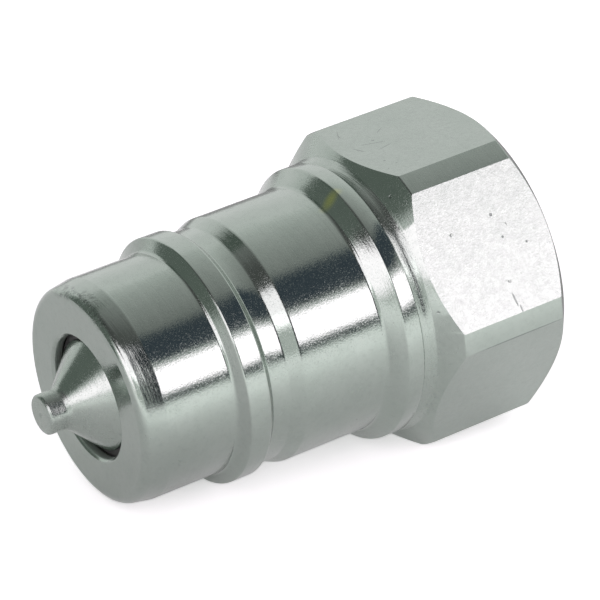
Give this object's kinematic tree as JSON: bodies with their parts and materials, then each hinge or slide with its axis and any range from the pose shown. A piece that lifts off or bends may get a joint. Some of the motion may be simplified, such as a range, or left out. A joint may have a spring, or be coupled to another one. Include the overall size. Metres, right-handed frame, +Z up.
{
  "type": "hydraulic quick coupling nipple",
  "caption": "Male half of a push-pull hydraulic quick coupling: hexagon body with a locking groove, sprung poppet valve with a pin, and a threaded port at the back.",
  "frame": {"origin": "centre of the probe's front face, on the axis", "axes": "+X along the axis from the probe's front face to the threaded port, +Z up, square to the upper flat of the hexagon, +Y across the corners"},
  "size_m": [0.0462, 0.03, 0.027],
  "materials": {
    "plated_steel": "turned steel with bright zinc plating",
    "poppet_steel": "turned steel with bright zinc plating",
    "nitrile_rubber": "moulded, satin",
    "spring_steel": "drawn wire, ground ends",
    "guide_steel": "plated, satin",
    "ring_steel": "stamped spring steel strip, dark phosphated"
  },
  "bodies": {
    "body": {"nipple_body": "plated_steel", "valve_guide": "guide_steel", "retaining_ring": "ring_steel", "return_spring": "spring_steel"},
    "valve": {"poppet": "poppet_steel", "poppet_seal": "nitrile_rubber"}
  },
  "joints": [
    {"name": "poppet_slide", "type": "slide", "parent": "body", "child": "valve", "axis": [1, 0, 0], "range_m": [0, 0.0048], "stiffness_N_per_m": 3000, "springref_m": -0.004, "deforming": ["return_spring"]}
  ]
}
